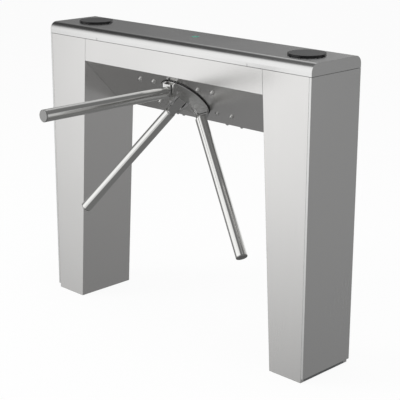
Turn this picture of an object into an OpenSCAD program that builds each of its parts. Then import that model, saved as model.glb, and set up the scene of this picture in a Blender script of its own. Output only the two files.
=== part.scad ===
// Tripod turnstile with two legs, a bridging beam and a rotor of three arms.
// Millimetres, +Z up, +X along the cabinet, the passage on the -Y side.
// The origin is on the floor, at the centre of the outer anchor holes.

/* [Cabinet] */
// Length of the cabinet over its end covers
body_l = 1200; // [1100:10:1400]
// Depth of the cabinet over its front and back sheets
body_w = 230; // [226:1:260]
// Height of the cabinet over its lid
body_h = 1000; // [980:5:1060]
// Thickness of the folded steel sheet
sheet = 1.5; // [1:0.1:2]
// Gap between the lid and the body below it
seam_gap = 1; // [0.6:0.1:1.5]
// Gap of the upright seams between sheets
panel_gap = 0.8; // [0.5:0.1:1.5]

/* [Legs] */
// Width of a leg at the floor
leg_foot_w = 137.5; // [130:0.5:160]
// Width of a leg at the lower edge of the front panel
leg_top_w = 186; // [170:1:200]
// Width of the folded edge of an end cover on the front and back
cover_edge = 8.2; // [6:0.2:14]
// Height of the end covers above the floor
cover_lift = 14; // [8:1:30]
// Width of the lips folded inwards at a leg's open side
lip_w = 14; // [10:1:15]

/* [Base] */
// Thickness of the base plates
base_t = 8; // [6:1:12]
// Height of the upstand at a base plate's outer edge
upstand_h = 40; // [20:5:60]
// Diameter of the anchor holes
anchor_d = 14; // [10:1:16]
// Distance of the outer anchor row from the cabinet's end
anchor_edge = 30; // [28:1:34]
// Distance between the two anchor rows of a leg
anchor_pitch = 80; // [76:1:84]
// Distance between anchor holes across the depth
anchor_y = 90; // [80:5:100]
// Diameter of the cable entry in each base plate
entry_d = 50; // [30:5:50]
// Distance of the cable entries from the cabinet's end
entry_edge = 70; // [66:1:74]

/* [Inner frame] */
// Side of the square tubes
tube_s = 30; // [25:1:32]
// Wall of the square tubes
tube_wall = 2; // [1.5:0.5:3]
// Distance of the posts from the cabinet's end
post_edge = 44; // [40:1:50]
// Place of posts and rails across the depth
rail_y = 83; // [81:1:83]
// Height of the lower spacers above the floor
spacer_low = 150; // [100:10:300]
// Drop of the upper spacers below the top of the lid
spacer_drop = 150; // [120:10:300]
// Side of the spacers that carry the end covers
spacer_s = 24; // [16:1:28]

/* [Beam] */
// Drop of the front panel's lower edge below the top of the lid
beam_drop = 116; // [110:1:130]
// Length of the sloped plate along its slope
slope_len = 237; // [230:1:240]
// Thickness of the sloped mechanism plate
plate_t = 3; // [2:0.5:4]
// Width of the flanges that join the sheets of the beam
flange_w = 16; // [12:1:18]
// Diameter of the screws under the beam
bottom_screw_d = 6; // [5:1:8]
// Height of the screw heads under the beam
bottom_head_h = 6; // [3:0.5:8]
// Clearance between the boxes inside the beam and the chassis or a leg
bay_gap = 35; // [20:1:45]
// Height of the control board
board_h = 100; // [80:5:100]
// Height of the power supply
supply_h = 98; // [80:1:98]
// Depth of the power supply
supply_t = 40; // [30:1:40]

/* [Lid] */
// Height of the lid above the seam
lid_h = 39; // [36:1:50]
// Radius of the lid's long edges
lid_r = 26; // [20:1:28]
// Distance of the release slots from the cabinet's end
slot_edge = 252; // [230:1:280]
// Width of the release slots
slot_w = 1.6; // [1:0.2:3]
// Height of the release slots
slot_h = 7.5; // [5:0.5:9]
// Length of a lid hinge
hinge_l = 80; // [50:5:120]
// Distance between the outer lid hinges
hinge_span = 700; // [500:20:760]
// Radius of the hinge barrels
barrel_r = 3.5; // [3:0.1:4]
// Diameter of the hinge pins
hinge_pin_d = 3.4; // [3:0.1:3.8]
// Thickness of the hinge leaves
leaf_t = 1.2; // [1:0.1:1.5]
// Height of a hinge leaf
leaf_h = 11; // [8:0.5:11]

/* [Readers and indicator] */
// Diameter of the reader discs
reader_d = 119; // [100:1:125]
// Height of the reader discs above the lid
reader_h = 6; // [2:0.5:8]
// Distance of the reader discs from the cabinet's end
reader_edge = 115; // [100:1:130]
// Diameter of the boss below a reader disc
reader_boss_d = 80; // [60:1:84]
// Diameter of the indicator window
indicator_d = 26; // [18:1:30]
// Place of the indicator along the lid
indicator_x = 5; // [-10:1:20]
// Place of the indicator across the lid
indicator_y = 8; // [-20:1:20]

/* [Rotor] */
// Distance from the plate's upper edge down the slope to the rotor's centre
hub_down = 115.5; // [112:0.5:118]
// Depth behind the plate at which the three arm axes meet
apex_depth = 42; // [40:0.5:44]
// Radius of the rotor disc
disc_r = 91.5; // [88:0.5:94]
// Thickness of the rotor disc
disc_t = 6; // [5:0.5:8]
// Height of the disc's face above the sloped plate
disc_proud = 5; // [3:0.5:6]
// Gap between the rotor disc and the sloped plate
disc_gap = 2.2; // [1.6:0.1:3]
// Wall of the black ring that lines the plate's opening
seal_wall = 1.3; // [1:0.1:1.3]
// Thickness of the disc's lips above and below its rim band
disc_lip = 1.2; // [1.1:0.1:1.5]
// Chamfer of the disc's rim
disc_chamfer = 0.8; // [0.5:0.1:1]
// Thickness of the black rubber band in the disc's rim
band_t = 2; // [1.5:0.5:3]
// Outer diameter of an arm tube
arm_d = 38; // [34:1:42]
// Wall of an arm tube
arm_wall = 1.5; // [1:0.1:2.5]
// Distance from the meeting point of the arms to an arm's free end
arm_reach = 616.5; // [500:5:640]
// Distance from the meeting point of the arms to the start of the tubes
arm_start = 119; // [114:1:130]
// Diameter of the round part of an arm root
root_d = 28; // [24:1:28]
// Distance from the meeting point of the arms to the root's inner end
root_start = 30; // [28:1:36]
// Length of a root inside its tube
root_insert = 50; // [30:5:90]
// Width of a root's block between the cheeks
block_w = 29; // [29:0.5:31]
// Distance from the meeting point of the arms to the front of a root's block
block_front = 113; // [110:1:113]
// Height of a root's block above the arm's axis
block_up = 26; // [20:1:26]
// Thickness of the cheek plates beside the arm roots
cheek_t = 7; // [5:0.5:7]
// Gap between a root's block and a cheek, filled by a washer
washer_t = 3; // [1:0.5:3]
// Diameter of the cheek bolts
cheek_bolt_d = 10; // [8:1:10]
// Length of an end cap
cap_l = 4; // [3:0.5:8]

/* [Mechanism] */
// Spacing of the inner bolt columns in the sloped plate
bolt_inner = 206; // [204:1:212]
// Spacing of the outer bolt columns in the sloped plate
bolt_outer = 336; // [330:1:340]
// Height of the upper bolt row above the rotor's centre, along the slope
bolt_up = 65.4; // [60:0.1:72]
// Drop of the lower bolt row below the rotor's centre, along the slope
bolt_down = 63.1; // [55:0.1:66]
// Diameter of the plate bolts
bolt_d = 8; // [6:1:8]
// Diameter of the plate bolts' heads and nuts
bolt_head_d = 13; // [12:0.5:15]
// Height of the plate bolts' heads
bolt_head_h = 5.5; // [5:0.5:9]
// Thickness of the chassis brackets
chassis_t = 6; // [5:0.5:7]
// Half distance between the inner faces of the chassis webs
web_x = 178; // [178:1:185]
// Depth of the bearing plate's front face behind the sloped plate
bearing_plate_z = 80; // [80:1:82]
// Thickness of the bearing plate
bearing_plate_t = 10; // [8:1:10]
// Diameter of the main shaft
shaft_d = 30; // [25:1:32]
// Outer diameter of the shaft bearings
bearing_d = 62; // [58:1:64]
// Width of a shaft bearing
bearing_w = 16; // [12:1:16]
// Radial clearance of turning fits
run_clear = 0.05; // [0.03:0.01:0.08]
// Diameter of the screws of the bearing plate and housing
screw_d = 6; // [5:0.5:6]
// Radius of the lock wheel
wheel_r = 62; // [60:0.5:62]
// Thickness of the lock wheel and the pawls
wheel_t = 10; // [8:1:10]
// Width between the two teeth of a pair on the lock wheel
notch_w = 15; // [14:0.5:18]
// Height of the teeth on the lock wheel
notch_depth = 12; // [11:0.5:14]
// Width of a tooth on the lock wheel
stop_w = 9; // [7:0.5:10]
// Module of the damper gears
gear_m = 2.5; // [2:0.1:2.6]
// Teeth of the gear on the shaft
gear_teeth = 40; // [40:1:40]
// Teeth of the damper pinion
pinion_teeth = 16; // [16:1:16]
// Width of the damper gears
gear_w = 10; // [8:1:12]

/* [Hidden] */
$fn = 64;

// Derived places of the cabinet
half_l = body_l / 2;
half_w = body_w / 2;
seam_z = body_h - lid_h;
body_top = seam_z - seam_gap / 2;
lid_bottom = seam_z + seam_gap / 2;
shell_end = half_l - cover_edge - panel_gap / 2;
rail_top = body_top - sheet;
rail_bottom = rail_top - tube_s;
seat_gap = 0.3;
beam_bottom = body_h - beam_drop;
post_x = half_l - post_edge;
reader_x = half_l - reader_edge;
slot_x = half_l - slot_edge;
spacer_high = body_h - spacer_drop;

// Derived places of the sloped plate and the rotor
slope_s = sqrt(0.5);
slope_end_y = -half_w + slope_len * slope_s;
slope_end_z = beam_bottom - slope_len * slope_s;
hub_y = -half_w + hub_down * slope_s;
hub_z = beam_bottom - hub_down * slope_s;
cone_angle = 45;
arm_count = 3;

// Distance of a leg's inner face from the middle of the cabinet at height z
function leg_inner(z) = half_l - leg_foot_w - (leg_top_w - leg_foot_w) * z / beam_bottom;

// Frame of the sloped plate: +Z out of the plate, +Y up its slope
module at_hub() {
    translate([0, hub_y, hub_z]) rotate([135, 0, 0]) children();
}

// Frame of one arm: +Z along the arm, +Y away from the rotor's axis
module at_arm(k) {
    at_hub() translate([0, 0, -apex_depth]) rotate([0, 0, 360 / arm_count * k])
        rotate([-cone_angle, 0, 0]) children();
}

// Upright outline in X and Z, extruded across the depth from y0 to y1
module across(y0, y1) {
    translate([0, y1, 0]) rotate([90, 0, 0]) linear_extrude(y1 - y0) children();
}

// Outline in Y and Z, extruded along the cabinet from x0 to x1
module along(x0, x1) {
    translate([x0, 0, 0]) rotate([90, 0, 90]) linear_extrude(x1 - x0) children();
}

// Box given by its low and high corners
module box(low, high) {
    translate(low) cube(high - low);
}

module ring(r_out, r_in, h) {
    difference() {
        cylinder(r = r_out, h = h);
        translate([0, 0, -1]) cylinder(r = r_in, h = h + 2);
    }
}

// Repeats a child at both sides of the cabinet
module both_sides() {
    children();
    mirror([1, 0, 0]) children();
}

// Outline between the two legs, with a gap to each
module between_outline(gap, z0, z1) {
    polygon([[-leg_inner(z0) + gap, z0], [leg_inner(z0) - gap, z0],
        [leg_inner(z1) - gap, z1], [-leg_inner(z1) + gap, z1]]);
}

// Leg shell: folded sheet with a front, an inclined inner face and a back
module right_leg_solid() {
    beam_margin = 15;
    notch_low = slope_end_z + beam_margin + 4;
    notch_line = beam_bottom - half_w + beam_margin / slope_s;
    notch_y = half_w - beam_margin;
    difference() {
        across(-half_w, half_w)
            polygon([[leg_inner(0), 0], [shell_end, 0], [shell_end, body_top],
                [leg_inner(body_top), body_top]]);
        across(-half_w + sheet, half_w - sheet)
            polygon([[leg_inner(-1) + sheet, -1], [shell_end + 1, -1],
                [shell_end + 1, body_top + 1], [leg_inner(body_top + 1) + sheet, body_top + 1]]);
        along(leg_inner(body_top) - 5, leg_inner(slope_end_z) + 5)
            polygon([[-notch_y, body_top + 1], [notch_y, body_top + 1], [notch_y, notch_low],
                [notch_line - notch_low, notch_low], [-notch_y, notch_line + notch_y]]);
    }
    for (side = [-1, 1]) {
        lip_a = side * (half_w - sheet);
        lip_b = side * (half_w - sheet - lip_w);
        box([shell_end - sheet, min(lip_a, lip_b), 0], [shell_end, max(lip_a, lip_b), body_top]);
    }
}

module left_leg_shell() {
    color("gainsboro") mirror([1, 0, 0]) right_leg_solid();
}

module right_leg_shell() {
    color("gainsboro") right_leg_solid();
}

// End cover: shallow tray whose edges are flush with the front and back
module right_cover_solid() {
    difference() {
        box([half_l - cover_edge, -half_w, cover_lift], [half_l, half_w, body_top]);
        box([half_l - cover_edge - 1, -half_w + sheet, cover_lift + sheet],
            [half_l - sheet, half_w - sheet, body_top - sheet]);
    }
}

module left_end_cover() {
    color("silver") mirror([1, 0, 0]) right_cover_solid();
}

module right_end_cover() {
    color("silver") right_cover_solid();
}

// Base plate with anchor holes, a cable entry and an upstand at its outer edge
module right_base_solid() {
    plate_in = leg_inner(0) + sheet + seat_gap;
    plate_out = shell_end - sheet - seat_gap;
    plate_half_w = half_w - sheet - seat_gap;
    tongue_half_w = plate_half_w - lip_w - seat_gap;
    difference() {
        union() {
            box([plate_in, -plate_half_w, 0], [plate_out, plate_half_w, base_t]);
            box([plate_out - 1, -tongue_half_w, 0], [shell_end, tongue_half_w, base_t]);
            box([shell_end - sheet, -tongue_half_w, 0], [shell_end, tongue_half_w, upstand_h]);
        }
        for (edge = [anchor_edge, anchor_edge + anchor_pitch], y = [-anchor_y / 2, anchor_y / 2])
            translate([half_l - edge, y, -1]) cylinder(d = anchor_d, h = base_t + 2);
        translate([half_l - entry_edge, 0, -1]) cylinder(d = entry_d, h = base_t + 2);
    }
}

module left_base_plate() {
    color("dimgray") mirror([1, 0, 0]) right_base_solid();
}

module right_base_plate() {
    color("dimgray") right_base_solid();
}

// Square tube section about the origin
module tube_section() {
    difference() {
        square(tube_s, center = true);
        square(tube_s - 2 * tube_wall, center = true);
    }
}

module frame_posts() {
    color("darkgray") for (x = [-post_x, post_x], y = [-rail_y, rail_y])
        translate([x, y, base_t]) linear_extrude(rail_bottom - base_t) tube_section();
}

module rail_solid(y) {
    rail_half = post_x + tube_s / 2;
    along(-rail_half, rail_half) translate([y, rail_bottom + tube_s / 2]) tube_section();
}

module frame_rails() {
    color("darkgray") for (y = [-rail_y, rail_y]) rail_solid(y);
}

// Blocks between the posts and the end covers
module cover_spacers() {
    color("darkgray") both_sides() for (y = [-rail_y, rail_y], z = [spacer_low, spacer_high])
        box([post_x + tube_s / 2, y - spacer_s / 2, z - spacer_s / 2],
            [half_l - sheet, y + spacer_s / 2, z + spacer_s / 2]);
}

// Front panel of the beam, with a lip that lies on the front rail
module beam_front_panel() {
    color("gainsboro") {
        across(-half_w, -half_w + sheet) between_outline(panel_gap, beam_bottom, body_top);
        across(-half_w, -rail_y + tube_s / 2)
            between_outline(panel_gap + 2, body_top - sheet, body_top);
    }
}

// Places of the screws under the beam
bottom_screw_y = slope_end_y + flange_w / 2;

module bottom_screw_places() {
    for (x = [-bolt_outer / 2, -bolt_inner / 2, bolt_inner / 2, bolt_outer / 2])
        translate([x, bottom_screw_y, 0]) children();
}

// Back panel of the beam, with a lip on the back rail and a bottom flange
module beam_back_panel() {
    color("gainsboro") difference() {
        union() {
            across(half_w - sheet, half_w) between_outline(panel_gap, slope_end_z, body_top);
            across(rail_y - tube_s / 2, half_w)
                between_outline(panel_gap + 2, body_top - sheet, body_top);
            across(slope_end_y + sheet + seat_gap, half_w)
                between_outline(panel_gap, slope_end_z, slope_end_z + sheet);
        }
        bottom_screw_places() translate([0, 0, slope_end_z - 1])
            cylinder(d = bottom_screw_d + 0.4, h = sheet + 2);
    }
}

// Places of the eight plate bolts in the frame of the sloped plate
module plate_bolt_places() {
    for (x = [-bolt_outer / 2, -bolt_inner / 2, bolt_inner / 2, bolt_outer / 2])
        for (y = [-bolt_down, bolt_up]) translate([x, y, 0]) children();
}

// Sloped plate that closes the beam from below and carries the mechanism
module mechanism_plate() {
    flange_bottom = slope_end_z + sheet;
    color("silver") difference() {
        intersection() {
            union() {
                at_hub() translate([-half_l, -(slope_len - hub_down), -plate_t])
                    cube([body_l, slope_len, plate_t]);
                box([-half_l, -half_w + sheet, beam_bottom], [half_l, -half_w + sheet + plate_t,
                    beam_bottom + flange_w]);
                box([-half_l, slope_end_y - 1, flange_bottom], [half_l, slope_end_y + flange_w,
                    flange_bottom + plate_t]);
            }
            across(-half_w, half_w) between_outline(panel_gap, slope_end_z - 5, body_h);
        }
        box([-half_l, -half_w - 1, beam_bottom], [half_l, -half_w + sheet, body_h]);
        at_hub() {
            translate([0, 0, -plate_t - 1])
                cylinder(r = disc_r + disc_gap, h = plate_t + 2, $fn = 120);
            plate_bolt_places() translate([0, 0, -plate_t - 1])
                cylinder(d = bolt_d + 0.5, h = plate_t + 2);
        }
        bottom_screw_places() translate([0, 0, flange_bottom - 1])
            cylinder(d = bottom_screw_d + 0.4, h = plate_t + 2);
    }
}

// Black ring in the plate's opening, with a flange behind the plate
module hub_seal_ring() {
    out_r = disc_r + disc_gap - run_clear;
    in_r = disc_r + disc_gap - seal_wall;
    back = 1.5;
    color("black") at_hub() {
        translate([0, 0, -plate_t - back]) difference() {
            union() {
                cylinder(r = out_r, h = plate_t + back - 0.3, $fn = 120);
                intersection() {
                    cylinder(r = out_r + 3, h = back, $fn = 120);
                    translate([-foot_in + seat_gap, -2 * disc_r, -1])
                        cube([2 * (foot_in - seat_gap), 4 * disc_r, back + 2]);
                }
            }
            translate([0, 0, -1]) cylinder(r = in_r, h = plate_t + back + 2, $fn = 120);
        }
    }
}

// Domed head standing on the plane z = 0
module dome(d, h) {
    dome_r = (d * d / 4 + h * h) / (2 * h);
    intersection() {
        translate([0, 0, h - dome_r]) sphere(r = dome_r);
        cylinder(d = d + 1, h = h + 1);
    }
}

// Round head with a chamfer and a hexagon socket, standing on the plane z = 0
module socket_head(d, h) {
    chamfer = 1;
    difference() {
        rotate_extrude() polygon([[0, 0], [d / 2, 0], [d / 2, h - chamfer], [d / 2 - chamfer, h], [0, h]]);
        translate([0, 0, h / 2]) cylinder(d = 0.53 * d, h = h, $fn = 6);
    }
}

// Bolt through the sloped plate and a chassis foot, with its nut behind
module plate_bolt() {
    nut_h = 6.5;
    nut_z = -plate_t - chassis_t - nut_h;
    socket_head(bolt_head_d, bolt_head_h);
    translate([0, 0, nut_z - 3]) cylinder(d = bolt_d, h = -nut_z + 3.1);
    translate([0, 0, nut_z]) cylinder(d = bolt_head_d, h = nut_h, $fn = 6);
}

module plate_bolts() {
    color("lightgray") at_hub() plate_bolt_places() plate_bolt();
}

module bottom_screws() {
    color("lightgray") bottom_screw_places() translate([0, 0, slope_end_z]) {
        mirror([0, 0, 1]) dome(2 * bottom_head_h + 1, bottom_head_h);
        translate([0, 0, -0.1]) cylinder(d = bottom_screw_d, h = sheet + plate_t + 6);
        translate([0, 0, sheet + plate_t]) cylinder(d = 2 * bottom_screw_d, h = 5, $fn = 6);
    }
}

// Chassis bracket: a foot under four plate bolts and a web that rises inwards
chassis_low = -78;
chassis_high = 85;
foot_in = bolt_inner / 2 - 8;

module right_chassis_solid() {
    web_end = bearing_plate_z + bearing_plate_t;
    difference() {
        union() {
            box([foot_in, chassis_low, -plate_t - chassis_t],
                [web_x + chassis_t, chassis_high, -plate_t]);
            box([web_x, chassis_low, -web_end], [web_x + chassis_t, chassis_high, -plate_t]);
        }
        plate_bolt_places() translate([0, 0, -plate_t - chassis_t - 1])
            cylinder(d = bolt_d + 0.5, h = chassis_t + 2);
        chassis_screw_places() translate([0, 0, -chassis_t - 1])
            cylinder(d = screw_hole, h = chassis_t + 2);
    }
}

module chassis_brackets() {
    color("slategray") at_hub() both_sides() right_chassis_solid();
}

// Bearing plate between the two webs
screw_hole = screw_d + 0.4;
screw_head = 1.7 * screw_d;
housing_r = bearing_d / 2 + 7;
housing_front = bearing_plate_z - 18;
housing_back = bearing_plate_z + bearing_plate_t + 14;
flange_r = housing_r + bearing_w;
housing_flange_t = 8;
plate_low = -100;
plate_high = 108;

module bearing_plate() {
    color("slategray") at_hub() difference() {
        box([-web_x, plate_low, -bearing_plate_z - bearing_plate_t],
            [web_x, plate_high, -bearing_plate_z]);
        translate([0, 0, -bearing_plate_z - bearing_plate_t - 1])
            cylinder(r = housing_r + run_clear, h = bearing_plate_t + 2);
        chassis_screw_places() translate([0, 0, -chassis_t - web_screw_in - 1])
            cylinder(d = screw_hole, h = web_screw_in + 2);
        housing_screw_places() translate([0, 0, -bearing_plate_t - 1])
            cylinder(d = screw_hole, h = bearing_plate_t + 2);
    }
}

// Places of the screws through the chassis webs into the bearing plate
web_screw_in = 16;

module chassis_screw_places() {
    both_sides() for (y = [chassis_low + 18, chassis_high - 25])
        translate([web_x + chassis_t, y, -bearing_plate_z - bearing_plate_t / 2])
            rotate([0, 90, 0]) children();
}

// Places of the screws through the flange of the bearing housing
housing_screw_ring = housing_r + bearing_w / 2;

module housing_screw_places() {
    for (k = [0:arm_count - 1]) rotate([0, 0, 90 + 360 / arm_count * k])
        translate([housing_screw_ring, 0, -bearing_plate_z]) children();
}

// Screws of the bearing plate and of the housing's flange
module mechanism_screws() {
    color("lightgray") at_hub() {
        chassis_screw_places() {
            cylinder(d = screw_head, h = screw_d, $fn = 6);
            translate([0, 0, -chassis_t - web_screw_in])
                cylinder(d = screw_d, h = chassis_t + web_screw_in + 0.1);
        }
        housing_screw_places() {
            translate([0, 0, housing_flange_t]) cylinder(d = screw_head, h = screw_d - 1);
            translate([0, 0, -bearing_plate_t - 3])
                cylinder(d = screw_d, h = bearing_plate_t + housing_flange_t + 3.1);
        }
    }
}

// Sensor beside the lock wheel that reads the rotor's position
module rotation_sensor() {
    sensor_x = -wheel_r - 6;
    color("black") at_hub() {
        box([sensor_x - 20, -10, -bearing_plate_z], [sensor_x, 10, -bearing_plate_z + 4]);
        box([sensor_x - 12, -8, -bearing_plate_z + 3], [sensor_x, 8, wheel_z + wheel_t]);
    }
}

// Flanged housing for the two shaft bearings
module bearing_housing() {
    color("gray") at_hub() difference() {
        union() {
            translate([0, 0, -housing_back]) cylinder(r = housing_r, h = housing_back - housing_front);
            translate([0, 0, -bearing_plate_z]) cylinder(r = flange_r, h = housing_flange_t);
        }
        translate([0, 0, -housing_back - 1])
            cylinder(d = bearing_d - 6, h = housing_back - housing_front + 2);
        translate([0, 0, -housing_front - bearing_w])
            cylinder(r = bearing_d / 2 + run_clear, h = bearing_w + 1);
        translate([0, 0, -housing_back - 1])
            cylinder(r = bearing_d / 2 + run_clear, h = bearing_w + 1);
        housing_screw_places() translate([0, 0, -1])
            cylinder(d = screw_hole, h = housing_flange_t + 2);
    }
}

// Ball bearing drawn as one ring with its shield grooves
module bearing_solid() {
    groove = 0.8;
    in_r = shaft_d / 2 + run_clear;
    out_r = bearing_d / 2;
    ring_w = (out_r - in_r) / 4;
    rotate_extrude() polygon([[in_r, 0], [in_r + ring_w, 0], [in_r + ring_w, groove],
        [out_r - ring_w, groove], [out_r - ring_w, 0], [out_r, 0], [out_r, bearing_w],
        [out_r - ring_w, bearing_w], [out_r - ring_w, bearing_w - groove],
        [in_r + ring_w, bearing_w - groove], [in_r + ring_w, bearing_w], [in_r, bearing_w]]);
}

module shaft_bearings() {
    color("lightsteelblue") at_hub() for (z = [-housing_front - bearing_w, -housing_back])
        translate([0, 0, z]) bearing_solid();
}

// Gear outline of involute teeth
function involute(base_r, a) = [base_r * (cos(a) + a * PI / 180 * sin(a)),
    base_r * (sin(a) - a * PI / 180 * cos(a))];
function involute_turn(base_r, r) = sqrt(pow(r / base_r, 2) - 1) * 180 / PI;
function turned(p, a) = [p[0] * cos(a) - p[1] * sin(a), p[0] * sin(a) + p[1] * cos(a)];
function flipped(p) = [p[0], -p[1]];

module gear_outline(teeth, backlash) {
    pitch_r = gear_m * teeth / 2;
    base_r = pitch_r * cos(20);
    tip_r = pitch_r + gear_m * 0.95;
    root_r = pitch_r - gear_m * 1.25;
    start_r = max(base_r, root_r);
    pitch_turn = involute_turn(base_r, pitch_r);
    pitch_point = involute(base_r, pitch_turn);
    half_tooth = 90 / teeth - backlash / pitch_r * 90 / PI;
    lead = atan2(pitch_point[1], pitch_point[0]) + half_tooth;
    steps = 4;
    flank = [for (i = [0:steps])
        turned(involute(base_r, involute_turn(base_r, start_r + (tip_r - start_r) * i / steps)), -lead)];
    low = turned([root_r, 0], -lead);
    tooth = concat([low], flank, [for (i = [steps:-1:0]) flipped(flank[i])], [flipped(low)]);
    polygon([for (t = [0:teeth - 1], p = tooth) turned(p, t * 360 / teeth)]);
}

gear_centres = gear_m * (gear_teeth + pinion_teeth) / 2 + 0.1;
gear_z = -housing_back - 6 - gear_w;
damper_r = 28;
damper_h = 14;
spindle_d = 8;

// Flat rotary damper behind the bearing plate
module rotary_damper() {
    top_z = -bearing_plate_z - bearing_plate_t;
    color("black") at_hub() translate([gear_centres, 0, top_z - damper_h]) difference() {
        union() {
            cylinder(r = damper_r, h = damper_h);
            for (side = [-1, 1]) translate([0, side * (damper_r + 2), damper_h - 4])
                cylinder(r = 8, h = 4);
        }
        translate([0, 0, -1]) cylinder(r = spindle_d / 2 + run_clear, h = damper_h - 3);
    }
}

// Teeth of the pinion stand in the spaces of the gear at rest
module damper_pinion() {
    top_z = -bearing_plate_z - bearing_plate_t;
    color("goldenrod") at_hub() translate([gear_centres, 0, gear_z]) {
        rotate([0, 0, 180 + 180 / pinion_teeth]) linear_extrude(gear_w)
            gear_outline(pinion_teeth, 0.15);
        cylinder(d = spindle_d, h = top_z - gear_z - 5);
    }
}

module damper_gear() {
    color("goldenrod") at_hub() translate([0, 0, gear_z]) difference() {
        union() {
            linear_extrude(gear_w) gear_outline(gear_teeth, 0.15);
            cylinder(r = shaft_d / 2 + 7, h = gear_w + 5);
        }
        translate([0, 0, -1]) cylinder(r = shaft_d / 2 + run_clear, h = gear_w + 7);
    }
}

// Lock parts: the wheel lies behind the hub core, and each pawl swings in its plane
core_back = apex_depth + 4;
wheel_z = -core_back - wheel_t;
pawl_pivot = [-50, 76];
pawl_pin_r = 6;
pawl_nose_y = wheel_r + 2;
tail_reach = 22;
tail_y = pawl_pivot[1] + tail_reach;
pawl_turn = 120;

// The exit pawl is the mirror image of the entry pawl
module at_pawl(k) {
    at_hub() rotate([0, 0, -pawl_turn * k]) mirror([k, 0, 0]) children();
}

// Disc with three pairs of teeth; a pawl drops between the two teeth of a pair
module lock_wheel() {
    base_r = wheel_r - notch_depth;
    color("steelblue") at_hub() translate([0, 0, wheel_z]) difference() {
        union() {
            cylinder(r = base_r, h = wheel_t, $fn = 120);
            intersection() {
                cylinder(r = wheel_r, h = wheel_t, $fn = 120);
                for (k = [0:arm_count - 1], side = [0, 1]) rotate([0, 0, 360 / arm_count * k])
                    mirror([side, 0, 0]) translate([notch_w / 2, base_r - 8, 0])
                        cube([stop_w, notch_depth + 8, wheel_t]);
            }
        }
        translate([0, 0, -1]) cylinder(r = shaft_d / 2 + run_clear, h = wheel_t + 2);
    }
}

// Pawl with a one-way nose above the wheel and a tail with a slot for the plunger's pin
module pawl_solid() {
    bar_low = pawl_pivot[1] - 2;
    nose_right = notch_w / 2;
    nose_tip = 5.5;
    nose_slope = 8;
    slot_half = plunger_pin_r + 0.4;
    slot_l = 8;
    difference() {
        union() {
            translate([pawl_pivot[0], pawl_pivot[1], 0]) cylinder(r = 11, h = wheel_t);
            translate([pawl_pivot[0], bar_low, 0]) cube([nose_right - pawl_pivot[0], 10, wheel_t]);
            linear_extrude(wheel_t) polygon([[nose_right, pawl_nose_y], [nose_right, bar_low + 5],
                [nose_right - nose_tip - nose_slope - 4, bar_low + 5],
                [nose_right - nose_tip - nose_slope, bar_low], [nose_right - nose_tip, pawl_nose_y]]);
            translate([pawl_pivot[0] - 6, pawl_pivot[1], 0]) cube([12, tail_reach + 8, wheel_t]);
        }
        translate([pawl_pivot[0], pawl_pivot[1], -1]) cylinder(r = pawl_pin_r + run_clear, h = wheel_t + 2);
        translate([pawl_pivot[0] - slot_half, tail_y - slot_l / 2, -1])
            cube([2 * slot_half, slot_l, wheel_t + 2]);
    }
}

module lock_pawl_entry() {
    color("orange") at_pawl(0) translate([0, 0, wheel_z]) pawl_solid();
}

module lock_pawl_exit() {
    color("orange") at_pawl(1) translate([0, 0, wheel_z]) pawl_solid();
}

// Pivot pins with a collar below each pawl
module pawl_pins() {
    color("lightgray") for (k = [0, 1]) at_pawl(k)
        translate([pawl_pivot[0], pawl_pivot[1], -bearing_plate_z]) {
            cylinder(r = pawl_pin_r, h = bearing_plate_z + wheel_z + wheel_t + 2);
            cylinder(r = pawl_pin_r + 3, h = bearing_plate_z + wheel_z - 0.5);
        }
}

// Solenoids pull the plungers along the pawl's local X
solenoid_x = [-20, 30];
solenoid_half = 10;
solenoid_top = -52;
plunger_z = -66;
plunger_r = 4;
plunger_end = -8;
plunger_pin_r = 2;

module solenoid_solid() {
    difference() {
        box([solenoid_x[0], tail_y - solenoid_half, -bearing_plate_z],
            [solenoid_x[1], tail_y + solenoid_half, solenoid_top]);
        translate([solenoid_x[0] - 1, tail_y, plunger_z]) rotate([0, 90, 0])
            cylinder(r = plunger_r + run_clear, h = 30);
    }
}

module solenoids() {
    color("firebrick") for (k = [0, 1]) at_pawl(k) solenoid_solid();
}

module plunger_solid() {
    head = 5;
    translate([pawl_pivot[0], tail_y, plunger_z]) {
        rotate([0, 90, 0]) cylinder(r = plunger_r, h = plunger_end - pawl_pivot[0]);
        translate([-head, -head, -head]) cube(2 * head);
        cylinder(r = plunger_pin_r, h = wheel_z + wheel_t - 1 - plunger_z);
    }
}

module plunger_entry() {
    color("lightgray") at_pawl(0) plunger_solid();
}

module plunger_exit() {
    color("lightgray") at_pawl(1) plunger_solid();
}

// Magnets that hold the arms at home: three on the wheel, three on the housing
magnet_ring = 44;
magnet_r = 5.5;
magnet_angle = 30;

module magnet_places() {
    for (k = [0:arm_count - 1]) rotate([0, 0, magnet_angle + 360 / arm_count * k])
        translate([magnet_ring, 0, 0]) children();
}

module rotor_magnets() {
    color("dimgray") at_hub() magnet_places() translate([0, 0, wheel_z - 2])
        cylinder(r = magnet_r, h = 2);
}

module fixed_magnets() {
    flange_top = -bearing_plate_z + 8;
    color("dimgray") at_hub() magnet_places() translate([0, 0, flange_top])
        cylinder(r = magnet_r, h = wheel_z - 3.5 - flange_top);
}

// Shaft from the hub core through both bearings to the gear
shaft_front = -26;

module main_shaft() {
    color("lightgray") at_hub() translate([0, 0, gear_z - 4])
        cylinder(r = shaft_d / 2, h = shaft_front - gear_z + 4);
}

// Hub core behind the disc, bored for the shaft and the three arm roots
disc_back = disc_proud - disc_t;

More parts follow.
